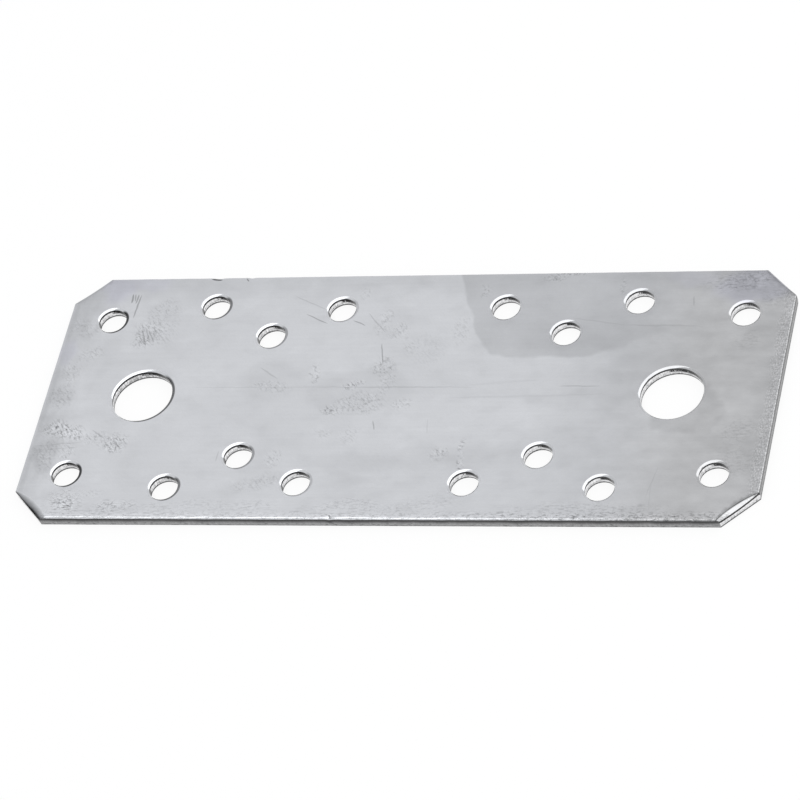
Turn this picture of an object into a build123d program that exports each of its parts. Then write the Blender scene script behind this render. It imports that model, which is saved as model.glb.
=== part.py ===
from build123d import *
import math
import os

# A galvanised steel mending plate: one flat strip of sheet, sheared to length, with its
# four corners clipped, sixteen nail holes in four groups of four and two bolt holes on
# the centre line. Millimetres. The plate lies flat, its length along X, Z up, and the
# origin is at the middle of its underside. The punches and shears came down from +Z, so
# every upper rim is rolled over and every cut leans back towards the underside.

# The sheet.
plate_length = 135.0
plate_width = 55.0
thickness = 2.0
clip_leg = 6.0

# Nail holes, one quarter of the pattern. Each is held from the edges it was gauged from.
nail_hole_diameter = 5.2
outer_nail_from_end = 8.5
outer_nail_from_edge = 9.9
second_nail_from_end = 27.9
second_nail_from_edge = 6.9
third_nail_from_end = 40.1
third_nail_from_edge = 13.9
inner_nail_from_end = 52.2
inner_nail_from_edge = 7.9

# Bolt holes, on the long centre line.
bolt_hole_diameter = 11.2
bolt_hole_from_end = 18.7

# A sheared or punched wall, from the top down: a rolled rim, a bright straight land, and
# a torn band that leans back by the clearance between punch and die.
edge_roll = 0.35
hole_roll_width = 0.42
hole_roll_drop = 0.2
torn_height = 0.8
torn_lean = 0.1

# The corner clipper dragged the sheet down into a crescent beside each cut. The two front
# corners were dragged further than the two at the back. A crescent is widest off the
# middle of the cut, towards the long edge, and runs out where the cut meets the end.
front_crescent_width = 0.95
front_crescent_drop = 0.5
back_crescent_width = 0.4
back_crescent_drop = 0.2
crescent_shift = 1.2

# How far the cutting tools reach past the sheet.
overrun = 1.0


def clipped_strip():
    """The blank: a torn lower band that leans back, and the straight sheet above it."""
    outline = chamfer(Rectangle(plate_length, plate_width).vertices(), clip_leg)
    lean_angle = math.degrees(math.atan2(torn_lean, torn_height))
    at_tear = Pos(0, 0, torn_height) * outline
    upper = extrude(at_tear, amount=thickness - torn_height)
    lower = extrude(at_tear, amount=torn_height, dir=(0, 0, -1), taper=lean_angle)
    return upper + lower


def roll_long_and_short_edges(strip):
    """Round over the upper rim of the four sheared sides. The clips get crescents."""
    rim = strip.edges().group_by(Axis.Z)[-1]
    sheared = rim.filter_by(Axis.X) + rim.filter_by(Axis.Y)
    return fillet(sheared, edge_roll)


def rolled_arc(start, width, drop):
    """An arc that leaves the upper face level at start and falls by drop over width."""
    bend = (width**2 + drop**2) / (2 * drop)
    sweep = math.degrees(math.asin(width / bend))
    return CenterArc((start, thickness - bend), bend, 90, sweep)


def hole_punch(diameter):
    """The solid that a punch takes out: rolled rim, straight land, torn flare below."""
    radius = diameter / 2
    flare = radius + torn_lean
    roll_top = radius + hole_roll_width
    below = -overrun
    above = thickness + overrun
    rim = rolled_arc(roll_top, hole_roll_width, hole_roll_drop)
    sides = Polyline(
        (radius, thickness - hole_roll_drop),
        (radius, torn_height),
        (flare, 0),
        (flare, below),
        (0, below),
        (0, above),
        (roll_top, above),
        (roll_top, thickness),
    )
    return revolve(Plane.XZ * make_face(rim + sides), Axis.Z)


def crescent_tool(width, drop):
    """A ring with a round foot, and how far outside the cut its centre stands."""
    run_out = clip_leg * math.sqrt(2) / 2 + crescent_shift
    ring_radius = (run_out**2 + width**2) / (2 * width)
    bend = (width**2 + drop**2) / (2 * drop)
    above = thickness + overrun
    foot = CenterArc((ring_radius, thickness - bend), bend, 90, 90)
    sides = Polyline(
        (ring_radius - bend, thickness - bend),
        (ring_radius - bend, above),
        (ring_radius, above),
        (ring_radius, thickness),
    )
    ring = revolve(Plane.XZ * make_face(foot + sides), Axis.Z)
    return ring, ring_radius - width


def nail_hole_centres():
    """One quarter of the nail pattern and its three mirror images."""
    gauged = [
        (outer_nail_from_end, outer_nail_from_edge),
        (second_nail_from_end, second_nail_from_edge),
        (third_nail_from_end, third_nail_from_edge),
        (inner_nail_from_end, inner_nail_from_edge),
    ]
    centres = []
    for from_end, from_edge in gauged:
        x = plate_length / 2 - from_end
        y = plate_width / 2 - from_edge
        centres += [(x, y), (x, -y), (-x, y), (-x, -y)]
    return centres


def bolt_hole_centres():
    reach = plate_length / 2 - bolt_hole_from_end
    return [(-reach, 0), (reach, 0)]


def corner_crescents():
    """The four crescent tools, each set outside its own clip."""
    tools = []
    for sy, width, drop in (
        (-1, front_crescent_width, front_crescent_drop),
        (1, back_crescent_width, back_crescent_drop),
    ):
        ring, stand_off = crescent_tool(width, drop)
        for sx in (-1, 1):
            clip_x = sx * (plate_length - clip_leg) / 2
            clip_y = sy * (plate_width - clip_leg) / 2
            out = stand_off / math.sqrt(2)
            along = crescent_shift / math.sqrt(2)
            centre_x = clip_x + sx * out - sx * along
            centre_y = clip_y + sy * out + sy * along
            tools.append(Pos(centre_x, centre_y, 0) * ring)
    return tools


plate = roll_long_and_short_edges(clipped_strip())

nail_punch = hole_punch(nail_hole_diameter)
for x, y in nail_hole_centres():
    plate -= Pos(x, y, 0) * nail_punch

bolt_punch = hole_punch(bolt_hole_diameter)
for x, y in bolt_hole_centres():
    plate -= Pos(x, y, 0) * bolt_punch

for tool in corner_crescents():
    plate -= tool

plate.label = "mending_plate"

os.makedirs("parts", exist_ok=True)
export_step(plate, "parts/mending_plate.step")
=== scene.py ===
import math

import bmesh
import bpy
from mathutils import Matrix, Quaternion, Vector, noise
from mathutils.geometry import delaunay_2d_cdt


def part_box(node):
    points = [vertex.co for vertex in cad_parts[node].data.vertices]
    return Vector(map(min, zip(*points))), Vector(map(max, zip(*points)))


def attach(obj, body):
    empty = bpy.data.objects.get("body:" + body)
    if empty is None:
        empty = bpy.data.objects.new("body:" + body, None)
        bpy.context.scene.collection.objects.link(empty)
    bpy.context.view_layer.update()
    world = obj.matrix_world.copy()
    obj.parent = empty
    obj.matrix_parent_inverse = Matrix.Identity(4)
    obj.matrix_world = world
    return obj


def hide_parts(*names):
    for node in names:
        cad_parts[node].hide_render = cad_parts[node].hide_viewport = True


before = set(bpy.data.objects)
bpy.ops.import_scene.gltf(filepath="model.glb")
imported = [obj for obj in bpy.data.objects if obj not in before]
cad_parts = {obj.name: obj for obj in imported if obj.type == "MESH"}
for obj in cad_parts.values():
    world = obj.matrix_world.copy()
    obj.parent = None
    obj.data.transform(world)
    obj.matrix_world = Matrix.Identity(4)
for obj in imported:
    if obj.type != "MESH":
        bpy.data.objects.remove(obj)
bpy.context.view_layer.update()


# The strip. One length of cold-rolled sheet steel, zinc-coated on both faces before it
# was sheared and clipped to this outline. Its sizes are worked in millimetres here, and
# only the finished mesh is in metres.
mm = 0.001
_, strip_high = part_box("mending_plate")
half_length = strip_high[0] / mm
half_width = strip_high[1] / mm
thickness = strip_high[2] / mm
clip_leg = 6.0

clip_x = half_length - clip_leg
clip_y = half_width - clip_leg
outline_corners = [
    Vector(point)
    for point in (
        (-clip_x, -half_width),
        (clip_x, -half_width),
        (half_length, -clip_y),
        (half_length, clip_y),
        (clip_x, half_width),
        (-clip_x, half_width),
        (-half_length, clip_y),
        (-half_length, -clip_y),
    )
]


def from_clip(x, y):
    """How far inside the nearest clip a point of the face lies."""
    return (half_length + half_width - clip_leg - abs(x) - abs(y)) / math.sqrt(2)


def inside_outline(x, y, margin):
    """Whether a point of the face keeps this far from all eight sides."""
    return min(half_length - abs(x), half_width - abs(y), from_clip(x, y)) > margin


# The sheared sides. The blade pressed the upper rim over before it cut, left a straight
# burnished land, and the last of the sheet tore off along a wandering line. The torn band
# leans back under the land and is as rough as broken steel.
edge_roll = 0.35
edge_roll_spread = 0.05
front_roll_extra = 0.12
torn_height = 0.8
torn_waver = 0.16
torn_lean = 0.1
torn_step = 0.02
torn_roughness = 0.03
corner_fade = 2.0
roll_angles = [math.radians(a) for a in (0, 15, 30, 45, 60, 75, 90)]
land_fractions = (0.2, 0.45, 0.7, 0.9, 0.97)
torn_fractions = (0.0, 0.12, 0.3, 0.5, 0.7, 0.86, 1.0)

# Two dents in the back rim and one in the front rim, from handling: where each lies along
# its side, how far it runs, and how much deeper it presses the rim.
rim_dents = (
    (1, -40.6, 0.9, 0.35),
    (1, -34.2, 0.5, 0.25),
    (-1, -7.4, 0.5, 0.3),
)


def rolled_rim(x, y):
    """Radius of the rolled rim of the nearest long or short side, which wanders a little."""
    to_corner = clip_x - abs(x)
    if half_length - abs(x) < half_width - abs(y):
        to_corner = clip_y - abs(y)
    freedom = min(max(to_corner / corner_fade, 0.0), 1.0)
    wander = noise.noise(Vector((x * 0.45, y * 0.45, 3.7)))
    radius = edge_roll + edge_roll_spread * wander * freedom
    if half_width + y < corner_fade:
        radius += front_roll_extra * (1 + wander) * freedom
    for side, place, run, depth in rim_dents:
        if side * y > half_width - corner_fade:
            radius += depth * math.exp(-(((x - place) / run) ** 2))
    return radius


def rim_drop(x, y):
    """How far the rolled rims of the sheared sides lie below the flat face."""
    radius = rolled_rim(x, y)
    inward = min(half_length - abs(x), half_width - abs(y))
    if inward >= radius:
        return 0.0
    return radius - math.sqrt(max(radius**2 - (radius - inward) ** 2, 0.0))


# The clipped corners. Each clip dragged the face down with it into a crescent, deep at the
# two front corners and slight at the back. It starts at a crease and is deepest at the cut,
# and a painted shade darkens the coat along the crease or down towards the cut.
crescents = []
crease_shade_reach = 0.16
fall_power = 0.8
cut_shade_power = 0.8
for side_x, side_y, width, drop, shift, crease, crease_shade, cut_shade in (
    (-1, -1, 1.35, 0.6, 2.0, 0.2, 0.0, 0.86),
    (1, -1, 0.76, 0.42, 1.2, 0.75, 0.95, 0.0),
    (-1, 1, 0.4, 0.2, 1.2, 0.4, 0.25, 0.0),
    (1, 1, 0.4, 0.2, 1.2, 0.4, 0.35, 0.0),
):
    run_out = clip_leg * math.sqrt(2) / 2 + shift
    ring_radius = (run_out**2 + width**2) / (2 * width)
    middle = Vector((half_length - clip_leg / 2, half_width - clip_leg / 2))
    stand_off = (ring_radius - width) / math.sqrt(2)
    along = shift / math.sqrt(2)
    centre = Vector(
        (side_x * (middle.x + stand_off - along), side_y * (middle.y + stand_off + along))
    )
    crescents.append((centre, ring_radius, width, drop, crease, crease_shade, cut_shade))


def crescent_at(x, y):
    """How far the crescents lie below the flat face, and how much painted shade lies there."""
    deepest = 0.0
    dark = 0.0
    for centre, ring_radius, width, drop, crease, crease_shade, cut_shade in crescents:
        into = ring_radius - math.hypot(x - centre.x, y - centre.y)
        dark = max(dark, crease_shade * (1 - abs(into) / crease_shade_reach))
        if into > 0:
            across = into + max(from_clip(x, y), 0.0)
            part = into / across
            fall = drop * (across / width) ** fall_power
            deepest = max(deepest, fall * (crease * part + (1 - crease) * part**2))
            dark = max(dark, cut_shade * part**cut_shade_power)
    return deepest, dark


def face_height(x, y):
    """Height of the upper face, with its rolled rims and crescents."""
    return thickness - max(rim_drop(x, y), crescent_at(x, y)[0])


# The hole pattern, one quarter of it as for the sheet's own punches: four nail holes and
# one bolt hole, which the other three quarters mirror.
nail_radius = 2.6
bolt_radius = 5.6
hole_roll_width = 0.42
hole_roll_drop = 0.23
hole_roll_crease = 0.6
hole_segments = 96
nail_quarter = [(59.0, 17.6), (39.6, 20.6), (27.4, 13.6), (15.3, 19.6)]
bolt_quarter = [(48.8, 0.0)]

punched = []
for quarter, radius in ((nail_quarter, nail_radius), (bolt_quarter, bolt_radius)):
    for x, y in quarter:
        for place in sorted({(x, y), (-x, y), (x, -y), (-x, -y)}):
            punched.append((Vector(place), radius))


def hole_ring(centre, radius):
    """The points of one ring round a hole, where its wall has them too."""
    turns = [2 * math.pi * k / hole_segments for k in range(hole_segments)]
    return [centre + radius * Vector((math.cos(a), math.sin(a))) for a in turns]


def clear_of_holes(x, y, margin):
    return all(math.hypot(x - c.x, y - c.y) > r + margin for c, r in punched)


# Where the sides are divided: close together at the corners, where the rolled rims run out
# into the clips, and a quarter of a millimetre or less apart elsewhere.
corner_marks = [math.sqrt(2) * edge_roll * (1 - math.cos(a)) for a in roll_angles]
corner_marks += [0.6, 0.75]
side_pitch = 0.25
clip_pitch = 0.14


def side_marks(length, pitch):
    """Distances along a side, from its first corner up to its last but without it."""
    last = corner_marks[-1]
    count = round((length - 2 * last) / pitch)
    middle = [last + (length - 2 * last) * k / count for k in range(1, count)]
    return corner_marks + middle + [length - d for d in reversed(corner_marks[1:])]


corner_reach = 0.8
corner_slope = math.tan(math.radians(22.5))
columns = []
rim_rows = []
for i, start in enumerate(outline_corners):
    end = outline_corners[(i + 1) % 8]
    length = (end - start).length
    run = (end - start).normalized()
    inward = Vector((-run.y, run.x))
    clipped = i % 2 == 1
    for mark in side_marks(length, clip_pitch if clipped else side_pitch):
        place = start + run * mark
        mitre = max(1 - mark / corner_reach, 0) - max(1 - (length - mark) / corner_reach, 0)
        columns.append((place, inward + run * corner_slope * mitre))
        if clipped:
            continue
        radius = rolled_rim(place.x, place.y)
        for angle in roll_angles[1:]:
            rim_rows.append(place + inward * radius * (1 - math.cos(angle)))
        rim_rows.append(place + inward * (radius + 0.06))
    if not clipped:
        for corner, back in ((start, -run), (end, run)):
            for angle in roll_angles[3:]:
                step = edge_roll * (1 - math.cos(angle))
                rim_rows += [corner + (inward + back * part) * step for part in (0, 0.34, 0.67)]

# The upper face. It is divided into triangles between the sides and the punched rims, with
# rows of points down the rolled rims and the crescents and a loose grid on the flat.
grid_pitch = 0.7
face_points = []
taken = {}


def put_point(x, y, gap):
    """Add a point to the face unless it crowds the points that are there."""
    cell = (math.floor(x), math.floor(y))
    for dx in (-1, 0, 1):
        for dy in (-1, 0, 1):
            for near in taken.get((cell[0] + dx, cell[1] + dy), ()):
                if math.hypot(near.x - x, near.y - y) < gap:
                    return
    point = Vector((x, y))
    face_points.append(point)
    taken.setdefault(cell, []).append(point)


def ring_edges(first, count):
    """The edges of a closed ring of points, from its first point on."""
    return [(first + k, first + (k + 1) % count) for k in range(count)]


for place, _ in columns:
    put_point(place.x, place.y, 0)
face_edges = ring_edges(0, len(columns))
for centre, radius in punched:
    first = len(face_points)
    for point in hole_ring(centre, radius + hole_roll_width):
        put_point(point.x, point.y, 0)
    face_edges += ring_edges(first, hole_segments)
for centre, radius in punched:
    for beyond in (0.06, 0.16, 0.28):
        for point in hole_ring(centre, radius + hole_roll_width + beyond):
            put_point(point.x, point.y, 0.03)
for point in rim_rows:
    if inside_outline(point.x, point.y, 0.005):
        put_point(point.x, point.y, 0.012)
for centre, ring_radius, width, *_ in crescents:
    for part in (-0.13, -0.06, 0.0, 0.05, 0.15, 0.3, 0.45, 0.6, 0.75, 0.88, 1.0):
        reach = ring_radius - width * part
        turn = 0.16 / reach
        for k in range(int(2 * math.pi / turn)):
            x = centre.x + reach * math.cos(k * turn)
            y = centre.y + reach * math.sin(k * turn)
            if inside_outline(x, y, 0.04):
                put_point(x, y, 0.05)
rows = int(half_width / grid_pitch)
posts = int(half_length / grid_pitch)
for row in range(-rows, rows + 1):
    for post in range(-posts, posts + 1):
        x = (post + 0.5 * (row % 2)) * grid_pitch
        y = row * grid_pitch
        if inside_outline(x, y, 0.5) and clear_of_holes(x, y, hole_roll_width + 0.3):
            put_point(x, y, 0.3)

face_plan = delaunay_2d_cdt(face_points, face_edges, [], 1, 1e-5)

# The underside, flat on the table: the same outline and holes, let out by the lean of the
# torn band.
base_points = [place + inward * torn_lean for place, inward in columns]
base_edges = ring_edges(0, len(columns))
for centre, radius in punched:
    first = len(base_points)
    base_points += hole_ring(centre, radius + torn_lean)
    base_edges += ring_edges(first, hole_segments)
base_pitch = 4
for row in range(-6, 7):
    for post in range(-16, 17):
        x, y = post * base_pitch, row * base_pitch
        if inside_outline(x, y, 1.5) and clear_of_holes(x, y, 1):
            base_points.append(Vector((x, y)))
base_plan = delaunay_2d_cdt(base_points, base_edges, [], 1, 1e-5)

# The skin of the piece. Each point keeps what the finishes ask of it, and a painted shade
# lies just outside one side of every punched rim. The sheared sides show the second finish
# and the clips the third.
sheared_slot = 1
clip_slot = 2
steel_from = 0.5
plate_mesh = bmesh.new()
kept = plate_mesh.verts.layers.float
for name in ("torn", "pressed", "cut depth", "far side shade", "left end shade", "wall wear", "painted_rim_shade"):
    kept.new(name)
torn_share, pressed_share = kept["torn"], kept["pressed"]
cut_depth, rim_shade_share = kept["cut depth"], kept["painted_rim_shade"]
rim_shade_side = (0.93, -0.37)
rim_shade_start = 0.5
rim_shade_reach = 0.3


def rim_shade_at(x, y):
    """How much painted shade lies just outside a punched rim, on one side of it."""
    for centre, radius in punched:
        out = Vector((x, y)) - centre
        beyond = max(out.length - radius - hole_roll_width, 0.0)
        if beyond < rim_shade_reach:
            aside = max(out.normalized().dot(Vector(rim_shade_side)), 0.0)
            return rim_shade_start * aside * (1 - beyond / rim_shade_reach)
    return 0.0


def add_plan(plan, height, rim, upwards):
    """Add a triangulated face at its height, leaving out what lies inside the holes."""
    points = [plate_mesh.verts.new((p.x * mm, p.y * mm, height(p.x, p.y) * mm)) for p in plan[0]]
    for corners in plan[2]:
        middle = sum((plan[0][k] for k in corners), Vector((0, 0))) / len(corners)
        if clear_of_holes(middle.x, middle.y, rim):
            ring = corners if upwards else list(reversed(corners))
            panel = plate_mesh.faces.new([points[k] for k in ring])
            panel.normal_update()
            # The steep outer part of the front and right rolled rims takes the dark sheared finish,
            # a painted shade.
            dark_rim_side = middle.y < 1 - half_width or middle.x > half_length - 1
            if dark_rim_side and abs(panel.normal.z) < steel_from:
                panel.material_index = sheared_slot
    return points


face = add_plan(face_plan, face_height, hole_roll_width - 0.002, True)
for point in face:
    point[pressed_share] = float(point.co.z / mm < thickness - 0.002)
    point[rim_shade_share] = rim_shade_at(point.co.x / mm, point.co.y / mm)
base = add_plan(base_plan, lambda x, y: 0.0, torn_lean - 0.002, False)
for point in base:
    point[torn_share] = 1.0


def wall_column(k):
    """The points of the cut from the face down to the underside, at one place."""
    place, inward = columns[k]
    top = face_height(place.x, place.y)
    wander = noise.fractal(Vector((place.x * 0.5, place.y * 0.5, 8.1)), 1.0, 2.0, 4)
    tear = torn_height + torn_waver * wander
    made = [plate_mesh.verts.new((place.x * mm, place.y * mm, top * mm))]
    made[0][pressed_share] = 1.0
    for part in land_fractions:
        z = top + (tear - top) * part
        made.append(plate_mesh.verts.new((place.x * mm, place.y * mm, z * mm)))
        made[-1][cut_depth] = top - z
    for part in torn_fractions:
        z = tear * (1 - part)
        broken = noise.fractal(Vector((place.x, place.y, z)) * 3.5, 0.8, 2.0, 3)
        inset = torn_step + (torn_lean - torn_step) * part
        if 0 < part < 1:
            inset += torn_roughness * broken
        point = place + inward * max(inset, 0.0)
        made.append(plate_mesh.verts.new((point.x * mm, point.y * mm, z * mm)))
        made[-1][torn_share] = 1.0
        made[-1][cut_depth] = top - z
    return made


walls = [wall_column(k) for k in range(len(columns))]
for k, here in enumerate(walls):
    there = walls[(k + 1) % len(walls)]
    place = (columns[k][0] + columns[(k + 1) % len(walls)][0]) / 2
    on_clip = abs(from_clip(place.x, place.y)) < 0.001
    for row in range(len(here) - 1):
        panel = plate_mesh.faces.new((here[row], here[row + 1], there[row + 1], there[row]))
        panel.material_index = clip_slot if on_clip else sheared_slot


# Node trees are put together with these. Each adds nodes to a tree, fed from other sockets
# or plain values.
def node(tree, kind, feeds=None, **settings):
    """Add a node with its settings made and its inputs fed."""
    made = tree.nodes.new(kind)
    for name, value in settings.items():
        setattr(made, name, value)
    for name, value in (feeds or {}).items():
        socket = made.inputs[name]
        if isinstance(value, bpy.types.NodeSocket):
            tree.links.new(value, socket)
        else:
            socket.default_value = value
    return made


def out_of(tree, kind, feeds=None, **settings):
    """Add a node and give back its first output."""
    return node(tree, kind, feeds, **settings).outputs[0]


def sum_of(tree, operation, *terms, clamp=False):
    """Add a Math node and give back its result."""
    feeds = dict(enumerate(terms))
    return out_of(tree, "ShaderNodeMath", feeds, operation=operation, use_clamp=clamp)


def product(tree, first, second):
    """Multiply two values."""
    return sum_of(tree, "MULTIPLY", first, second)


def minus(tree, first, second):
    """Take the second value from the first."""
    return sum_of(tree, "SUBTRACT", first, second)


def sloped(tree, value, slope, start):
    """Work out start + slope x value."""
    return sum_of(tree, "MULTIPLY_ADD", value, slope, start)


def vector_of(tree, operation, *terms):
    """Add a Vector Math node and give back its result."""
    made = node(tree, "ShaderNodeVectorMath", dict(enumerate(terms)), operation=operation)
    return made.outputs["Value" if operation in ("LENGTH", "DOT_PRODUCT") else "Vector"]


def scaled(tree, vector, factor):
    """Scale a vector or a colour."""
    feeds = {0: vector, "Scale": factor}
    return out_of(tree, "ShaderNodeVectorMath", feeds, operation="SCALE")


# The punched walls. Each hole has the sheared side's rolled rim, bright land and torn
# band, wrapped round the punch. One wall is set out at every hole of the quarter pattern
# and its mirror images, and each one tears along a line of its own.
hole_sizes = {
    "Sheet Thickness": thickness * mm,
    "Roll Width": hole_roll_width * mm,
    "Roll Drop": hole_roll_drop * mm,
    "Roll Crease": hole_roll_crease,
    "Tear Height": torn_height * mm,
    "Tear Waver": torn_waver * mm,
    "Tear Lean": torn_lean * mm,
    "Tear Roughness": torn_roughness * mm,
}
hole_tree = tree = bpy.data.node_groups.new("punched holes", "GeometryNodeTree")
tree.interface.new_socket("Walls", in_out="OUTPUT", socket_type="NodeSocketGeometry")
hole_inputs = {}
for kind, names in (
    ("Geometry", ("Quarter",)),
    ("Float", ("Hole Radius", *hole_sizes, "End Shade", "Wall Wear", "Seed")),
    ("Int", ("Segments",)),
    ("Material", ("Rim Finish", "Wall Finish")),
):
    for name in names:
        made = tree.interface.new_socket(name, in_out="INPUT", socket_type="NodeSocket" + kind)
        hole_inputs[name] = made.identifier


def stored(geometry, name, value, kind="FLOAT"):
    """Keep a value on every point of the walls under a name."""
    feeds = {"Geometry": geometry, "Name": name, "Value": value}
    settings = {"data_type": kind, "domain": "POINT"}
    return out_of(hole_tree, "GeometryNodeStoreNamedAttribute", feeds, **settings)


def hole_noise(position, swings, detail):
    """Noise from about -0.5 to 0.5 at so many swings a millimetre, by the hole's seed."""
    feeds = {"Vector": position, "W": given["Seed"], "Scale": swings / mm, "Detail": detail}
    made = out_of(hole_tree, "ShaderNodeTexNoise", feeds, noise_dimensions="4D")
    return minus(hole_tree, made, 0.5)


# The sleeve of the walls: a cylinder at every hole, whose rows will be the rim, the land
# and the torn band from the top down.
roll_rows, land_rows, torn_rows = 7, 5, 6
all_rows = roll_rows + land_rows + torn_rows
given = node(tree, "NodeGroupInput").outputs
places = given["Quarter"]
for mirror in ((-1, 1, 1), (1, -1, 1)):
    turned = out_of(tree, "GeometryNodeTransform", {"Geometry": places, "Scale": mirror})
    both = node(tree, "GeometryNodeJoinGeometry")
    tree.links.new(places, both.inputs[0])
    tree.links.new(turned, both.inputs[0])
    places = both.outputs[0]
single = out_of(tree, "GeometryNodeMergeByDistance", {"Geometry": places, "Distance": mm})
here = out_of(tree, "GeometryNodeInputPosition")
centred = stored(single, "hole centre", here, "FLOAT_VECTOR")
feeds = {"Vertices": given["Segments"], "Side Segments": all_rows, "Depth": 1.0}
sleeve = out_of(tree, "GeometryNodeMeshCylinder", feeds, fill_type="NONE")
feeds = {"Points": centred, "Instance": sleeve}
set_out = out_of(tree, "GeometryNodeInstanceOnPoints", feeds)
sleeves = out_of(tree, "GeometryNodeRealizeInstances", {"Geometry": set_out})
recall = "GeometryNodeInputNamedAttribute"
hole_centre = out_of(tree, recall, {"Name": "hole centre"}, data_type="FLOAT_VECTOR")
local = vector_of(tree, "SUBTRACT", here, hole_centre)
parts = node(tree, "ShaderNodeSeparateXYZ", {"Vector": local}).outputs
row_down = product(tree, minus(tree, 0.5, parts[2]), all_rows)
past_land = sum_of(tree, "SUBTRACT", row_down, roll_rows + land_rows - 1.0, clamp=True)
past_face = sum_of(tree, "ADD", row_down, 0.0, clamp=True)
down_roll = sum_of(tree, "DIVIDE", row_down, roll_rows, clamp=True)
beside = {}
# Each wall keeps three sides: painted shade falls down the wall on its far side and at its left
# end, and on the rim on its right side.
for name, direction in (
    ("far side shade", (0.42, 0.91, 0)),
    ("left end shade", (-0.97, -0.24, 0)),
    ("right side", (*rim_shade_side, 0)),
):
    across = vector_of(tree, "DOT_PRODUCT", local, direction)
    beside[name] = sum_of(tree, "MAXIMUM", across, 0.0)
# The rims of the holes take a painted shade on their right side, strongest down the roll.
painted_rim_shade = sloped(tree, down_roll, 1.0 - rim_shade_start, rim_shade_start)
for name, value in (
    ("row", row_down),
    ("torn", past_land),
    ("pressed", past_face),
    ("far side shade", beside["far side shade"]),
    ("left end shade", product(tree, beside["left end shade"], given["End Shade"])),
    ("wall wear", given["Wall Wear"]),
    ("painted_rim_shade", product(tree, beside["right side"], painted_rim_shade)),
):
    sleeves = stored(sleeves, name, value)

# The section of the walls: how high each row lies and how far out it stands.
past_roll = minus(tree, row_down, roll_rows)
down_land = sum_of(tree, "DIVIDE", past_roll, land_rows, clamp=True)
past_tear = minus(tree, row_down, roll_rows + land_rows)
down_tear = sum_of(tree, "DIVIDE", past_tear, torn_rows, clamp=True)
roll_out = product(tree, given["Roll Width"], minus(tree, 1.0, down_roll))
bent = product(tree, down_roll, down_roll)
crease = product(tree, minus(tree, down_roll, bent), given["Roll Crease"])
roll_fall = product(tree, given["Roll Drop"], sum_of(tree, "ADD", bent, crease))
outward = out_of(tree, "ShaderNodeCombineXYZ", {"X": parts[0], "Y": parts[1]})
on_wall = vector_of(tree, "ADD", scaled(tree, outward, given["Hole Radius"]), hole_centre)
waver = product(tree, given["Tear Waver"], product(tree, hole_noise(on_wall, 0.5, 4.0), 3.0))
tear_line = sum_of(tree, "ADD", given["Tear Height"], waver)
roll_foot = minus(tree, given["Sheet Thickness"], given["Roll Drop"])
land_height = minus(tree, roll_foot, tear_line)
height = minus(tree, given["Sheet Thickness"], roll_fall)
for share, drop in ((down_land, land_height), (down_tear, tear_line)):
    height = minus(tree, height, product(tree, share, drop))
raised = out_of(tree, "ShaderNodeCombineXYZ", {"Z": height})
broken = product(tree, hole_noise(vector_of(tree, "ADD", on_wall, raised), 3.5, 3.0), 2.0)
broken = product(tree, broken, given["Tear Roughness"])
mid_band = product(tree, minus(tree, 1.0, down_tear), down_tear)
broken = product(tree, broken, product(tree, mid_band, 4.0))
lean = product(tree, given["Tear Lean"], down_tear)
reach = sum_of(tree, "ADD", given["Hole Radius"], roll_out)
reach = sum_of(tree, "ADD", reach, sum_of(tree, "ADD", lean, broken))
wall_place = vector_of(tree, "ADD", scaled(tree, outward, reach), hole_centre)
wall_place = vector_of(tree, "ADD", wall_place, raised)
below_foot = sum_of(tree, "DIVIDE", minus(tree, roll_foot, height), mm)
sleeves = stored(sleeves, "cut depth", sum_of(tree, "MAXIMUM", below_foot, 0.0))
feeds = {"Geometry": sleeves, "Position": wall_place}
shaped = out_of(tree, "GeometryNodeSetPosition", feeds)
facing_in = out_of(tree, "GeometryNodeFlipFaces", {"Mesh": shaped})
row_kept = out_of(tree, recall, {"Name": "row"}, data_type="FLOAT")
below_rim = sum_of(tree, "GREATER_THAN", row_kept, float(roll_rows))
feeds = {"Geometry": facing_in, "Material": given["Rim Finish"]}
rims = out_of(tree, "GeometryNodeSetMaterial", feeds)
feeds = {"Geometry": rims, "Selection": below_rim, "Material": given["Wall Finish"]}
finished_walls = out_of(tree, "GeometryNodeSetMaterial", feeds)
node(tree, "NodeGroupOutput", {"Walls": finished_walls})

names = ("zinc coat", "sheared steel", "punched steel")
finishes = [bpy.data.materials.new(name) for name in names]
zinc_coat, sheared_steel, punched_steel = finishes


def new_object(name, data):
    """Add an object to the scene."""
    made = bpy.data.objects.new(name, data)
    bpy.context.scene.collection.objects.link(made)
    return made


# The nail holes' walls take painted shade towards the left end; the bolt holes' walls don't.
for name, quarter, radius, seed, end_shade, wall_wear in (
    ("nail holes", nail_quarter, nail_radius, 4.0, 1.0, 0.12),
    ("bolt holes", bolt_quarter, bolt_radius, 9.0, 0.0, 0.42),
):
    centres = bpy.data.meshes.new(name)
    centres.from_pydata([(x * mm, y * mm, 0) for x, y in quarter], [], [])
    holes = new_object(name, centres)
    punch = holes.modifiers.new("punch", "NODES")
    punch.node_group = hole_tree
    for label, value in {
        **hole_sizes,
        "Hole Radius": radius * mm,
        "End Shade": end_shade,
        "Wall Wear": wall_wear,
        "Segments": hole_segments,
        "Seed": seed,
        "Rim Finish": zinc_coat,
        "Wall Finish": punched_steel,
    }.items():
        punch[hole_inputs[label]] = value
    evaluated = holes.evaluated_get(bpy.context.evaluated_depsgraph_get())
    hole_walls = bpy.data.meshes.new_from_object(evaluated)
    slots = [finishes.index(m) if m in finishes else 0 for m in hole_walls.materials]
    for panel in hole_walls.polygons:
        panel.material_index = slots[panel.material_index]
    plate_mesh.from_mesh(hole_walls)
    bpy.data.objects.remove(holes)
    bpy.data.meshes.remove(hole_walls)

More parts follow.
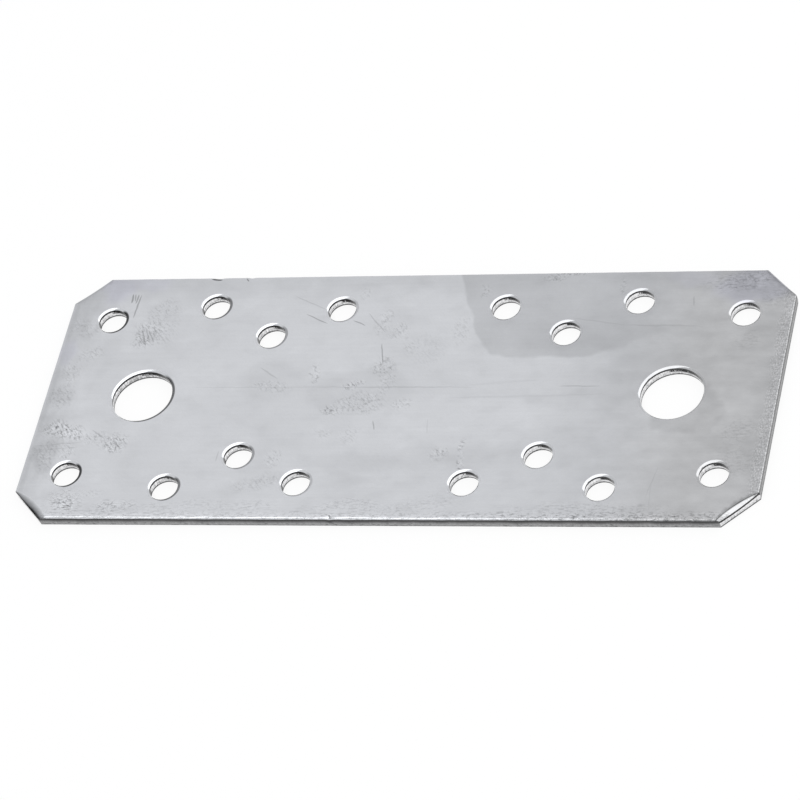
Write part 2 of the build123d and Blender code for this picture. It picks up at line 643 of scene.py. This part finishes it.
# The whole plate. Walls and faces are welded into one closed skin. The rolled sheet isn't
# quite flat: its upper face dips by about a hundredth of a millimetre.
sheet_dip = 0.012
bmesh.ops.remove_doubles(plate_mesh, verts=plate_mesh.verts, dist=0.002 * mm)
for point in plate_mesh.verts:
    place = Vector((point.co.x / mm * 0.05, point.co.y / mm * 0.09, 1.3))
    dip = sheet_dip * (0.5 + 0.5 * noise.noise(place))
    point.co.z *= 1 - dip / thickness
bmesh.ops.recalc_face_normals(plate_mesh, faces=plate_mesh.faces)

plate_skin = bpy.data.meshes.new("plate")
plate_mesh.to_mesh(plate_skin)
plate_mesh.free()
for finish in finishes:
    plate_skin.materials.append(finish)
plate_skin.shade_smooth()
plate_skin.set_sharp_from_angle(angle=math.radians(38))
plate = new_object("punched_plate", plate_skin)
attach(plate, "root")
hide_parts("mending_plate")

# The finish of the faces. The zinc coat is a soft grey mirror, rolled out lengthwise, and
# its handling shows: tide marks from the passivating bath, scuffed patches and single
# scratches. Each mark is placed in millimetres from the plate's middle.
def group(name, inputs, outputs):
    """Start a shader group with these sockets. Gives its tree and its input sockets."""
    made = bpy.data.node_groups.new(name, "ShaderNodeTree")
    for label, kind in inputs.items():
        made.interface.new_socket(label, in_out="INPUT", socket_type="NodeSocket" + kind)
    for label in outputs:
        made.interface.new_socket(label, in_out="OUTPUT", socket_type="NodeSocketFloat")
    return made, node(made, "NodeGroupInput").outputs


def eased(tree, value, low, high):
    """Add a smooth step from 0 at low to 1 at high."""
    feeds = {"Value": value, "From Min": low, "From Max": high}
    made = node(tree, "ShaderNodeMapRange", feeds, interpolation_type="SMOOTHSTEP")
    return made.outputs["Result"]


def cloud(tree, position, scale, detail, stretch=(1, 1, 1)):
    """Add noise at so many swings a millimetre, from about 0.25 to 0.75."""
    spread = vector_of(tree, "MULTIPLY", position, stretch)
    feeds = {"Vector": spread, "Scale": scale, "Detail": detail}
    return out_of(tree, "ShaderNodeTexNoise", feeds)


def place_group(tree, shared, **feeds):
    """Place a shader group in a material, with its named inputs fed."""
    named = {label.title(): value for label, value in feeds.items()}
    return node(tree, "ShaderNodeGroup", named, node_tree=shared).outputs


tide, given = group(
    "tide line",
    {"Position": "Vector", "Through": "Vector", "Facing": "Vector", "Softness": "Float"},
    ("Mask",),
)
away = vector_of(tide, "SUBTRACT", given["Position"], given["Through"])
facing = vector_of(tide, "NORMALIZE", given["Facing"])
inside = vector_of(tide, "DOT_PRODUCT", away, facing)
behind = product(tide, given["Softness"], -1.0)
node(tide, "NodeGroupOutput", {"Mask": eased(tide, inside, behind, given["Softness"])})

scratch, given = group(
    "scratch",
    {"Position": "Vector", "Start": "Vector", "End": "Vector", "Width": "Float"},
    ("Mask",),
)
span = vector_of(scratch, "SUBTRACT", given["End"], given["Start"])
from_start = vector_of(scratch, "SUBTRACT", given["Position"], given["Start"])
passed = vector_of(scratch, "DOT_PRODUCT", from_start, span)
whole = vector_of(scratch, "DOT_PRODUCT", span, span)
along = sum_of(scratch, "DIVIDE", passed, whole, clamp=True)
aside = vector_of(scratch, "SUBTRACT", from_start, scaled(scratch, span, along))
aside = vector_of(scratch, "LENGTH", aside)
from_middle = sum_of(scratch, "ABSOLUTE", sloped(scratch, along, 2.0, -1.0))
taper = minus(scratch, 1.05, sum_of(scratch, "POWER", from_middle, 3.0))
half = product(scratch, given["Width"], product(scratch, taper, 0.5))
node(scratch, "NodeGroupOutput", {"Mask": eased(scratch, aside, half, 0.0)})

# Wear that all three finishes share: worm-like marks and specks where something dragged
# over the metal, and the fine grit of the surface itself.
wear, given = group(
    "wear",
    {"Position": "Vector", "Scale": "Float", "Slant": "Float"},
    ("Worms", "Specks", "Flecks", "Grit"),
)
sized = scaled(wear, given["Position"], given["Scale"])
feeds = {"Vector": sized, "Angle": given["Slant"]}
strokes = out_of(wear, "ShaderNodeVectorRotate", feeds, rotation_type="Z_AXIS")
worm = cloud(wear, sized, 1.4, 2.0, stretch=(0.7, 1, 1))
worm = sum_of(wear, "ABSOLUTE", minus(wear, worm, 0.5))
speck = cloud(wear, strokes, 2.8, 2.0, stretch=(0.35, 1, 1))
made_marks = {
    "Worms": eased(wear, worm, 0.04, 0.005),
    "Specks": eased(wear, speck, 0.53, 0.63),
    "Flecks": eased(wear, speck, 0.41, 0.33),
    "Grit": cloud(wear, sized, 5.5, 1.0),
}
node(wear, "NodeGroupOutput", made_marks)

# Where a stain lies, how far it reaches, how soft its border is and how much it darkens. The
# first, over the whole right end, is painted shade rather than a stain.
stains_and_shade = (
    (80, -2, 43, 62, 0.45, 0.19),
    (58, 8.5, 21, 9, 0.3, 0.08),
    (46, 20, 12, 6, 0.5, 0.05),
    (63, 25.5, 9, 6.5, 0.4, 0.19),
    (48, 27.5, 14, 3.6, 0.5, 0.08),
    (59.8, 11.2, 1.8, 2, 0.4, 0.06),
    (64, 13, 5, 1.8, 0.4, 0.05),
    (52, -3.6, 7, 5.6, 0.07, 0.1),
    (61, -9.5, 6, 5, 0.5, 0.07),
    (60, -15, 8, 6, 0.4, 0.04),
    (67, -16, 3, 12, 0.6, 0.06),
    (-69, 0, 5.5, 34, 0.55, 0.12),
    (-64.5, 16, 3.4, 4, 0.4, 0.06),
    (-64.4, 0.3, 2.2, 3, 0.4, 0.05),
    (-64.4, -14, 2.8, 3, 0.3, 0.12),
    (-60, 11, 5, 4.5, 0.5, 0.05),
    (-63, 24, 7, 5.5, 0.4, 0.1),
    (-50, 26, 14, 4, 0.6, 0.08),
    (-49.4, 19.4, 2.4, 2.8, 0.4, 0.06),
    (-51.2, 13.9, 2.6, 2, 0.5, 0.07),
    (-24.5, 3.4, 6.5, 4.6, 0.3, 0.05),
    (-8.5, 0.6, 10, 5.2, 0.16, 0.06),
    (-5.4, 5.6, 2.2, 1.6, 0.4, 0.05),
    (-7, -15, 9, 2, 0.3, 0.06),
    (-22, -19.2, 5.5, 1.6, 0.3, 0.06),
    (-7, -19, 5, 1.8, 0.3, 0.05),
    (12, -14, 14, 2.6, 0.4, 0.04),
    (4, -25.5, 6, 1.6, 0.4, 0.03),
    (-4, 16.5, 2.6, 2.6, 0.4, 0.03),
    (2, 11, 4, 3.4, 0.3, 0.03),
    (2, 25.5, 8, 2, 0.5, 0.04),
    (27.5, 11, 8.5, 2.6, 0.5, 0.03),
    (23, 13.6, 12, 3.6, 0.5, 0.05),
    (38, -27, 24, 2.6, 0.6, 0.06),
    # This one, beside the right end of the front rim, is painted shade.
    (60, -27, 12, 4, 0.6, 0.06),
    (30, -0.6, 22, 1.2, 0.5, 0.03),
    (-16, 27, 52, 3.4, 0.6, 0.06),
    (30, -17, 26, 9, 0.6, 0.05),
    (36, 2, 14, 5, 0.5, 0.04),
    (67, -4, 3.5, 20, 0.6, 0.04),
    (66, -1, 3, 4, 0.5, 0.05),
)
# The dark tide mark over the right half of the back: a border point, and the way in.
tide_marks = (
    ((9.1, 18.7), (0.923, 0.385), 0.35),
    ((13.5, 10.2), (0.789, 0.614), 0.4),
    ((17, 8.4), (0.2, 0.98), 0.4),
    ((24, 8.2), (0, 1), 0.45),
    ((33, 8.6), (-0.37, 0.93), 0.6),
    ((42, 13), (-1, 0.1), 6),
)
tide_depth = 0.15
# Scuffed patches: place, reach and how strongly each is marked.
scuffs = (
    (-51.6, 13.4, 2, 2, 1),
    (-50.2, 14.6, 3.6, 3, 0.7),
    (-49.4, 19.4, 2.3, 2.8, 0.4),
    (-64, 15.7, 2.6, 2.2, 0.4),
    (-61, 9.6, 2.2, 1.5, 0.6),
    (-63.6, 5.7, 1.8, 2.4, 0.5),
    (-64.4, 0.2, 2.2, 3.2, 0.5),
    (-61.7, -8.2, 4.4, 1.9, 1.3),
    (-55.5, -9, 2.4, 1.1, 0.7),
    (-51.6, -10.6, 2.6, 1.3, 1.1),
    (-64.4, -14, 2.4, 2.8, 0.5),
    (-59.8, -13.1, 1.8, 1.8, 0.6),
    (-57.5, -24.8, 2, 1.6, 1.5),
    (-57.5, -24, 3.4, 2.6, 0.9),
    (-52.8, -21.8, 2.6, 0.8, 0.8),
    (-47.5, -25, 4.6, 1.2, 0.9),
    (-38, -25.2, 5, 1, 0.5),
    (-30, -24.5, 8, 1.5, 0.35),
    (-2, -25, 10, 1.2, 0.5),
    (10, -24, 5, 2, 0.35),
    (38, -25.2, 14, 1.2, 0.5),
    (-12, -3.5, 2.2, 0.8, 1),
    (-7, -2.2, 4, 2.2, 0.55),
    (-9, 2.2, 0.9, 0.9, 1),
    (0.4, -2.2, 1.7, 1.2, 0.5),
    (-5.4, 5.6, 1.6, 2, 0.7),
    (-4, 2.6, 1.4, 3.2, 0.45),
    (-16.7, 4.6, 0.7, 2.4, 0.8),
    (-25, 1.6, 3.4, 1.2, 0.5),
    (-20.9, -14.8, 1.6, 1.7, 0.5),
    (-23, -25.2, 4.2, 0.9, 0.5),
    (-13, -8.2, 1.6, 0.7, 0.5),
    (-8, -9.4, 2.2, 1.6, 0.35),
    (-22, -19.2, 5, 1.4, 0.4),
    (-7, 16.5, 1.4, 2.4, 0.45),
    (-3.6, 14, 2, 1.8, 0.45),
    (0, 11, 2, 1.8, 0.35),
    (3, 11, 3, 4, 0.2),
    (8.3, 14.5, 2, 2.8, 0.3),
    (-11, 23, 1.2, 1.2, 0.4),
    (11.4, 23.4, 1.2, 1, 0.7),
    (13.3, -11, 0.5, 1.6, 0.8),
    (13.5, -15, 0.5, 2.6, 1),
    (13.4, -22, 0.5, 3, 0.5),
    (9.7, -13, 1.5, 1.3, 0.7),
    (25, 26.7, 4, 0.8, 0.9),
    (36, 24.5, 0.7, 2, 0.5),
    (56.8, 24.8, 4.8, 2.1, 0.75),
    (63.8, 20.4, 2.4, 3, 0.5),
    (61, 26, 3.4, 1.2, 0.8),
    (60, 12, 2.4, 2.4, 0.3),
    (62, -8.8, 3.8, 2.6, 0.4),
    (62, -15, 3, 3, 0.3),
)
# Where the coat has a violet bloom: place, reach, softness and how strong it is.
blooms = (
    (-59, 24.2, 2.8, 3, 0.3, 1),
    (-54.5, 26, 5, 1.6, 0.4, 0.7),
    (-65.8, 9.5, 1.4, 2.6, 0.5, 0.7),
    (49, 26, 5.5, 1.6, 0.4, 0.5),
    (60, 23.5, 7, 4.4, 0.3, 0.9),
)
# Scratches and drag marks: from, to, width and how much each darkens.
scratches = (
    (-56.4, 23.8, -56.2, 21.6, 0.55, 0.5),
    (-55.9, 23.8, -55.7, 22, 0.4, 0.4),
    (-55.3, 23.7, -55.4, 21.4, 0.5, 0.4),
    (-54.8, 23.6, -55.1, 18, 0.5, 0.42),
    (-53, 17, -51.9, 14, 0.3, 0.22),
    (-52.6, 15.4, -51.2, 12.2, 0.35, 0.34),
    (-52, 15.8, -50.4, 12.6, 0.35, 0.3),
    (-51.3, 15.2, -49.7, 12.6, 0.3, 0.3),
    (-52.9, 14, -51.8, 12.4, 0.5, 0.24),
    (-52.2, 12.8, -50.9, 11.7, 0.5, 0.32),
    (-50.6, 15.9, -49.2, 13.6, 0.3, 0.22),
    (-49.6, 15.6, -48.4, 13.9, 0.3, 0.2),
    (-56.4, -7.8, -53.4, -9.8, 0.5, 0.2),
    (-66.6, -11.4, -57.5, -10.6, 0.4, 0.14),
    (-66, -12.2, -58, -11.8, 0.4, 0.12),
    (-42, 27, -39.8, 26.9, 0.7, 0.85),
    (-35.2, 27.2, -34.6, 26.5, 0.4, 0.6),
    (-7.6, -26.6, -7.1, -27.4, 0.5, 0.7),
    (-21.9, 18.6, -17.2, 16.2, 0.36, 0.4),
    (-12.6, 17, -10, 15.7, 0.36, 0.4),
    (-24.8, 22.8, -18.3, 19.6, 0.4, 0.16),
    (-10, 18.6, -5.8, 14, 0.4, 0.22),
    (-27.7, 6.3, -23.8, 3.6, 0.5, 0.18),
    (-6.1, 11.6, -4.8, 6.6, 0.36, 0.42),
    (-4, -5.9, -3.3, -8, 0.36, 0.36),
    (-31.1, -12.5, -31.2, -15, 0.4, 0.16),
    (6, -5.6, 6.5, -9, 0.3, 0.12),
    (49.1, -16, 48, -22.7, 0.35, 0.1),
    (48.5, -19, 48.9, -25.2, 0.3, 0.08),
    (49.2, 21.6, 49.5, 19.4, 0.45, 0.2),
    (-40, 1.8, -6, 1.65, 0.4, 0.1),
    (-16, 1.7, 13, 1.5, 0.45, 0.16),
    (12, 2, 25, 3.1, 0.9, 0.05),
    (8.8, -0.9, 37.7, -0.2, 0.8, 0.07),
    (28.2, 1.6, 36, 1.55, 0.45, 0.2),
    (28, 17, 38, 15.2, 0.5, 0.1),
    (38, 15.2, 52, 14.8, 0.6, 0.12),
)


def border_wander(x, y, level):
    """How far a border drawn on the face wanders at a place, by one level of the noise."""
    slow = noise.noise(Vector((x * 0.13, y * 0.13, level)))
    quick = noise.noise(Vector((x * 0.45, y * 0.45, level + 4.2)))
    return slow * 1.8 + quick * 0.8


def wandered(x, y):
    """A place shifted by noise, so that borders drawn with it wander."""
    return x + border_wander(x, y, 169.9), y + border_wander(x, y, 239.9)


def patch_strength(x, y, patch, softness):
    """How strongly an oval patch covers a place: 1 inside it, fading to 0 over its border."""
    away = math.hypot((x - patch[0]) / patch[2], (y - patch[1]) / patch[3])
    part = min(max((1 + softness - away) / (2 * softness), 0), 1)
    return part * part * (3 - 2 * part)


# The tone kept here carries the stains and also painted shade: the crescents' dark, and the
# darkening over the right end and beside the front rim's right end.
marked = {"stained and shaded": [], "scuffed": [], "bloomed": []}
for point in plate_skin.vertices:
    x, y = wandered(point.co.x / mm, point.co.y / mm)
    tone = 1.0
    scuff = 0.0
    bloom = 0.0
    if point.co.z / mm > thickness / 2:
        tone = 1 - crescent_at(point.co.x / mm, point.co.y / mm)[1]
        for patch in stains_and_shade:
            tone *= 1 - patch[5] * patch_strength(x, y, patch, patch[4])
        for patch in scuffs:
            scuff = max(scuff, patch[4] * patch_strength(x, y, patch, 0.5))
        for patch in blooms:
            bloom = max(bloom, patch[5] * patch_strength(x, y, patch, patch[4]))
    for values, value in zip(marked.values(), (tone, scuff, bloom)):
        values.append(value)
for name, values in marked.items():
    plate_skin.attributes.new(name, "FLOAT", "POINT").data.foreach_set("value", values)


def attribute(tree, name):
    """Read a value that was kept on the piece's points."""
    return node(tree, "ShaderNodeAttribute", attribute_name=name).outputs["Fac"]


def changed(tree, tone, share, by):
    """Multiply a tone by 1 + share x by."""
    return product(tree, tone, sloped(tree, share, by, 1.0))


def blend(tree, share, first, second):
    """Blend from one colour to another."""
    return node(tree, "ShaderNodeMix", {0: share, 6: first, 7: second}, data_type="RGBA").outputs[2]


def in_mm(tree):
    """Add the place on the piece, in millimetres."""
    place = node(tree, "ShaderNodeTexCoord").outputs["Object"]
    return out_of(tree, "ShaderNodeMapping", {"Vector": place, "Scale": (1000, 1000, 1000)})


def feed_metal(tree, colour, roughness, relief, height):
    """Feed the metal its colour and roughness, and its relief, so many millimetres high."""
    feeds = {"Height": relief, "Distance": height * mm}
    bump = out_of(tree, "ShaderNodeBump", feeds)
    metal = tree.nodes["Principled BSDF"].inputs
    metal["Metallic"].default_value = 1.0
    for name, value in (("Base Color", colour), ("Roughness", roughness), ("Normal", bump)):
        tree.links.new(value, metal[name])


def shaken(tree, position, swings, reach):
    """Shift a position by noise, so that a border drawn with it wanders."""
    feeds = {"Vector": position, "Scale": swings, "Detail": 1.0}
    shift = node(tree, "ShaderNodeTexNoise", feeds).outputs["Color"]
    shift = vector_of(tree, "SUBTRACT", shift, (0.5, 0.5, 0.5))
    shift = vector_of(tree, "MULTIPLY", shift, (reach, reach, 0))
    return vector_of(tree, "ADD", position, shift)


zinc_coat.use_nodes = True
tree = zinc_coat.node_tree
flat = vector_of(tree, "MULTIPLY", in_mm(tree), (1, 1, 0))
crisp_place = shaken(tree, flat, 0.3, 1.6)
stroke_place = shaken(tree, flat, 0.5, 0.35)
fringe = cloud(tree, flat, 0.45, 4.0, stretch=(0.6, 1, 1))
fringe = sloped(tree, fringe, 0.8, 0.6)
# The kept tone darkens the coat for its stains and for its painted shade alike.
darkened = product(tree, minus(tree, 1.0, attribute(tree, "stained and shaded")), fringe)
tone = minus(tree, 1.0, darkened)
inside = 1.0
for through, facing, softness in tide_marks:
    feeds = {"through": (*through, 0), "facing": (*facing, 0), "softness": softness}
    mask = place_group(tree, tide, position=crisp_place, **feeds)["Mask"]
    inside = product(tree, inside, mask)
tone = changed(tree, tone, inside, -tide_depth)

# The rims of the sheet were worked hardest: a band of crushed, speckled coat runs inside
# the right side and, more faintly, inside the front.
spot = node(tree, "ShaderNodeSeparateXYZ", {"Vector": crisp_place}).outputs
exact_x, exact_y, _ = node(tree, "ShaderNodeSeparateXYZ", {"Vector": flat}).outputs
right_band = eased(tree, spot["X"], half_length - 2.6, half_length - 1.2)
front_band = eased(tree, spot["Y"], 2.4 - half_width, 0.9 - half_width)
front_wear = sloped(tree, eased(tree, spot["X"], 5.0, 40.0), 0.5, 0.6)
scuff_mask = sum_of(tree, "MAXIMUM", attribute(tree, "scuffed"), 0.04)
for band, strength in ((right_band, 0.45), (front_band, front_wear)):
    scuff_mask = sum_of(tree, "MAXIMUM", scuff_mask, product(tree, band, strength))
slant = product(tree, eased(tree, exact_x, 40.0, 10.0), math.radians(48))
slant = product(tree, slant, eased(tree, exact_y, -23.5, -20.5))
marks = place_group(tree, wear, position=flat, scale=1.0, slant=slant)
worn = product(tree, marks["Worms"], 0.26)
worn = sum_of(tree, "ADD", worn, product(tree, marks["Specks"], 0.32))
worn = minus(tree, worn, product(tree, marks["Flecks"], 0.14))
worn = product(tree, worn, scuff_mask)
tone = changed(tree, tone, worn, -1.0)
scored = 0.0
for x0, y0, x1, y1, width, depth in scratches:
    feeds = {"start": (x0, y0, 0), "end": (x1, y1, 0), "width": width}
    mask = place_group(tree, scratch, position=stroke_place, **feeds)["Mask"]
    scored = sum_of(tree, "MAXIMUM", scored, product(tree, mask, depth))
tone = changed(tree, tone, scored, -1.0)

# The rolled sheet's own unevenness: grain along its length, broad clouds, a brushed mottle,
# and streaks of duller coat at its two ends.
grain = cloud(tree, flat, 1.0, 2.0, stretch=(0.04, 1.7, 1))
brushed = cloud(tree, flat, 0.33, 4.0, stretch=(0.6, 1, 1))
left_streaks = cloud(tree, flat, 0.6, 4.0, stretch=(1, 0.4, 1))
right_streaks = cloud(tree, flat, 4.5, 1.0, stretch=(1.3, 0.5, 1))
left_edge = eased(tree, exact_x, -56.0, -64.0)
right_edge = eased(tree, spot["X"], half_length - 2.8, half_length - 1.4)
for streaks, edge, depth in (
    (left_streaks, left_edge, 0.26),
    (right_streaks, right_edge, 1.2),
):
    streaks = product(tree, minus(tree, streaks, 0.5), edge)
    tone = changed(tree, tone, streaks, depth)
for texture, depth in (
    (grain, 0.06),
    (cloud(tree, flat, 0.06, 1.0), 0.16),
    (brushed, 0.24),
    (eased(tree, brushed, 0.5, 0.56), -0.02),
    (marks["Grit"], 0.09),
):
    swing = sloped(tree, texture, depth, 1.0 - depth / 2)
    tone = product(tree, tone, swing)

# A painted highlight lies beside the front rim, turning to a slight painted shade towards the
# right. Beside the left rim the face is a little darker. Near three corners the coat has a violet
# bloom.
fading = eased(tree, exact_x, 0.0, 55.0)
front_highlight = eased(tree, exact_y, 1.6 - half_width, 0.4 - half_width)
front_highlight = product(tree, front_highlight, sloped(tree, fading, -0.12, 0.08))
tone = changed(tree, tone, front_highlight, 1.0)
dull_line = eased(tree, exact_x, 1.7 - half_length, 1.0 - half_length)
dull_start = eased(tree, exact_x, 0.3 - half_length, 0.7 - half_length)
tone = changed(tree, tone, product(tree, dull_line, dull_start), -0.07)
warm = eased(tree, spot["X"], 36.0, 56.0)
colour = blend(tree, warm, (0.688, 0.699, 0.724, 1), (0.694, 0.698, 0.71, 1))
colour = blend(tree, attribute(tree, "bloomed"), colour, (0.674, 0.68, 0.742, 1))
colour = scaled(tree, colour, tone)

# The pressed rims carry painted shade: dark on the right of the left-hand holes, and a
# dimmed highlight along the right side and the right half of the front.
pressed = attribute(tree, "pressed")
leftward = eased(tree, spot["X"], 10.0, -60.0)
painted_rim_shade = product(tree, eased(tree, attribute(tree, "painted_rim_shade"), 0.1, 0.36), leftward)
painted_rim_shade = sloped(tree, painted_rim_shade, -0.93, 1.0)
# Painted shade that dims the highlight of the pressed front and right rims.
painted_rim_dimming = eased(tree, exact_y, 1.0 - half_width, 0.5 - half_width)
painted_rim_dimming = product(tree, painted_rim_dimming, fading)
right_rim = eased(tree, exact_x, half_length - 1.0, half_length - 0.5)
painted_rim_dimming = sum_of(tree, "MAXIMUM", painted_rim_dimming, product(tree, right_rim, 0.8))
painted_rim_dimming = product(tree, painted_rim_dimming, pressed)
colour = scaled(tree, colour, changed(tree, painted_rim_shade, painted_rim_dimming, -0.2))
dull = sloped(tree, scuff_mask, 0.1, 0.27)
dull = sum_of(tree, "ADD", dull, product(tree, brushed, 0.1))
roughness = sloped(tree, pressed, -0.2, dull)
relief = product(tree, sum_of(tree, "ADD", grain, marks["Grit"]), 0.25)
relief = minus(tree, relief, product(tree, worn, 1.5))
feed_metal(tree, colour, roughness, relief, 0.008)

# The bare steel of the cuts. Tool and steel slid past each other down the land and left
# drag lines. Below it the torn band is grey and granular.
drag, given = group("drag lines", {"Position": "Vector", "Scale": "Float"}, ("Height",))
lines = scaled(drag, given["Position"], given["Scale"])
lines = cloud(drag, lines, 3.2, 3.0, stretch=(1, 1, 0.12))
node(drag, "NodeGroupOutput", {"Height": lines})

for finish, land, shaded_land, torn_land, streaks, rim_shadow, rim_reach, foot_shadow in (
    # The sheared steel is a far darker copy of the punched steel: painted shade on the sheared
    # sides.
    (
        sheared_steel,
        (0.33, 0.33, 0.335, 1),
        (0.33, 0.33, 0.335, 1),
        (0.39, 0.39, 0.395, 1),
        0.5,
        0.8,
        (1.08, 0.03),
        0.15,
    ),
    # The punched walls' shaded land is near black: painted shade on the far side of each hole.
    (
        punched_steel,
        (0.85, 0.85, 0.86, 1),
        (0.02, 0.02, 0.022, 1),
        (0.8, 0.8, 0.81, 1),
        1.0,
        0.94,
        (0.58, 0.47),
        0.85,
    ),
):
    finish.use_nodes = True
    tree = finish.node_tree
    place = in_mm(tree)
    spot = node(tree, "ShaderNodeSeparateXYZ", {"Vector": place}).outputs
    torn = attribute(tree, "torn")
    depth = attribute(tree, "cut depth")
    wall_wear = attribute(tree, "wall wear")
    lines = place_group(tree, drag, position=place, scale=1.5)["Height"]
    marks = place_group(tree, wear, position=place, scale=1.3, slant=0.0)
    rightward = eased(tree, spot["X"], 5.0, 40.0)
    rightward = product(tree, rightward, eased(tree, wall_wear, 0.0, 0.1))
    # Painted shade: the land turns to its shaded colour on the far side of each hole, broken by
    # drag lines and kept off just under the rim of the right-hand holes.
    shaded = minus(tree, lines, 0.5)
    shaded = sloped(tree, shaded, 0.9, attribute(tree, "far side shade"))
    bright_lip = product(tree, eased(tree, depth, 0.42, 0.32), rightward)
    shaded = changed(tree, eased(tree, shaded, 0.7, 0.92), bright_lip, -1.0)
    colour = blend(tree, shaded, land, shaded_land)
    colour = blend(tree, torn, colour, torn_land)
    tone = sloped(tree, lines, streaks, 1.0 - streaks / 2)
    tone = changed(tree, tone, product(tree, torn, marks["Specks"]), -0.45)
    from_rim = sloped(tree, rightward, 0.05, depth)
    if finish is sheared_steel:
        # The wall along the right side is painted darker still, with darker specks: painted shade.
        right_side = eased(tree, spot["X"], half_length - 1.0, half_length - 0.5)
        from_rim = sloped(tree, right_side, 0.5, depth)
        tone = changed(tree, tone, right_side, -0.2)
        speckled = minus(tree, marks["Specks"], marks["Flecks"])
        tone = changed(tree, tone, product(tree, speckled, right_side), -0.45)
    from_rim = sloped(tree, lines, 0.15, from_rim)
    tone = changed(tree, tone, eased(tree, from_rim, *rim_reach), -rim_shadow)
    worn = product(tree, wall_wear, eased(tree, lines, 0.65, 0.35))
    tone = changed(tree, tone, changed(tree, worn, rightward, -0.6), -1.0)
    # Painted shade on the walls of the left-hand nail holes, on the side towards the left end.
    dark_end = eased(tree, attribute(tree, "left end shade"), 0.955, 0.985)
    dark_end = product(tree, dark_end, eased(tree, spot["X"], 30.0, 0.0))
    tone = changed(tree, tone, dark_end, -0.85)
    tone = changed(tree, tone, eased(tree, spot["Z"], 0.44, 0.2), -foot_shadow)
    roughness = sloped(tree, torn, 0.32, 0.25)
    relief = product(tree, marks["Grit"], torn)
    relief = sloped(tree, relief, 1.5, lines)
    feed_metal(tree, scaled(tree, colour, tone), roughness, relief, 0.012)

# The studio. The plate lies on a white table whose edge sweeps up all round. A broad soft
# lamp stands over its front right, and the room darkens towards the left.
table_radius = 2.4
sweep_radius = 0.6
sweep = [(0.4, 0.0), (1.2, 0.0), (table_radius, 0.0)]
for k in range(1, 10):
    bend = math.radians(10 * k)
    rise = sweep_radius - sweep_radius * math.cos(bend)
    sweep.append((table_radius + sweep_radius * math.sin(bend), rise))
table_segments = 96
turns = [2 * math.pi * k / table_segments for k in range(table_segments)]
table_mesh = bmesh.new()
rings = [
    [table_mesh.verts.new((reach * math.cos(a), reach * math.sin(a), rise)) for a in turns]
    for reach, rise in sweep
]
table_mesh.faces.new(rings[0])
for inner, outer in zip(rings, rings[1:]):
    for k in range(table_segments):
        after = (k + 1) % table_segments
        table_mesh.faces.new((inner[k], outer[k], outer[after], inner[after]))
table_skin = bpy.data.meshes.new("table")
table_mesh.to_mesh(table_skin)
table_mesh.free()
table_skin.shade_smooth()
table = new_object("table", table_skin)

table_white = bpy.data.materials.new("table white")
table_white.use_nodes = True
tree = table_white.node_tree
tree.nodes.remove(tree.nodes["Principled BSDF"])
rays = node(tree, "ShaderNodeLightPath").outputs
seen = sum_of(tree, "MAXIMUM", rays["Is Camera Ray"], rays["Is Glossy Ray"])
seen = sum_of(tree, "MAXIMUM", seen, rays["Is Transmission Ray"])
paper = out_of(tree, "ShaderNodeBsdfDiffuse", {"Color": (0.85, 0.85, 0.85, 1)})
glow = out_of(tree, "ShaderNodeEmission", {"Color": (1, 1, 1, 1), "Strength": 1.0})
mixed = out_of(tree, "ShaderNodeMixShader", {0: product(tree, seen, 0.88), 1: paper, 2: glow})
tree.links.new(mixed, tree.nodes["Material Output"].inputs["Surface"])
table_skin.materials.append(table_white)

room = bpy.data.worlds.new("studio")
bpy.context.scene.world = room
room.use_nodes = True
tree = room.node_tree
direction = node(tree, "ShaderNodeTexCoord").outputs["Generated"]
to_left = vector_of(tree, "DOT_PRODUCT", direction, Vector((-0.98, 0.0, 0.15)).normalized())
dim = eased(tree, to_left, 0.93, 0.985)
room_light = blend(tree, dim, (0.832, 0.835, 0.842, 1), (0.1, 0.1, 0.102, 1))
backdrop = tree.nodes["Background"]
tree.links.new(room_light, backdrop.inputs["Color"])
backdrop.inputs["Strength"].default_value = 1.0


def soft_lamp(name, place, width, brightness):
    """A square soft lamp at a place, turned towards the plate. Brightness 1 shows white."""
    light = bpy.data.lights.new(name, "AREA")
    light.shape = "SQUARE"
    light.size = width
    light.energy = brightness * math.pi * width**2
    lamp = new_object(name, light)
    lamp.location = place
    lamp.rotation_euler = (-Vector(place)).to_track_quat("-Z", "Y").to_euler()


soft_lamp("overhead lamp", (0.14, -0.2, 1.2), 1.4, 1.0)
soft_lamp("side lamp", (0.75, 0.5, 0.8), 0.8, 1.0)

# The camera, at the photograph's angle: to the plate's front right, looking down on it and
# rolled over until the long sides lie level in the picture.
camera_place = Vector((0.245, -0.4548, 0.5609))
camera_aim = Vector((-0.0004, -0.0005, 0.001))
camera_roll = math.radians(-21.95)
camera_data = bpy.data.cameras.new("camera")
camera_data.lens = 196.3
camera_data.sensor_width = 36
camera_data.clip_start = 0.01
camera = new_object("camera", camera_data)
look = (camera_aim - camera_place).to_track_quat("-Z", "Y")
camera.location = camera_place
camera.rotation_euler = (look @ Quaternion((0, 0, 1), camera_roll)).to_euler()
bpy.context.scene.camera = camera
bpy.context.scene.view_settings.view_transform = "Standard"
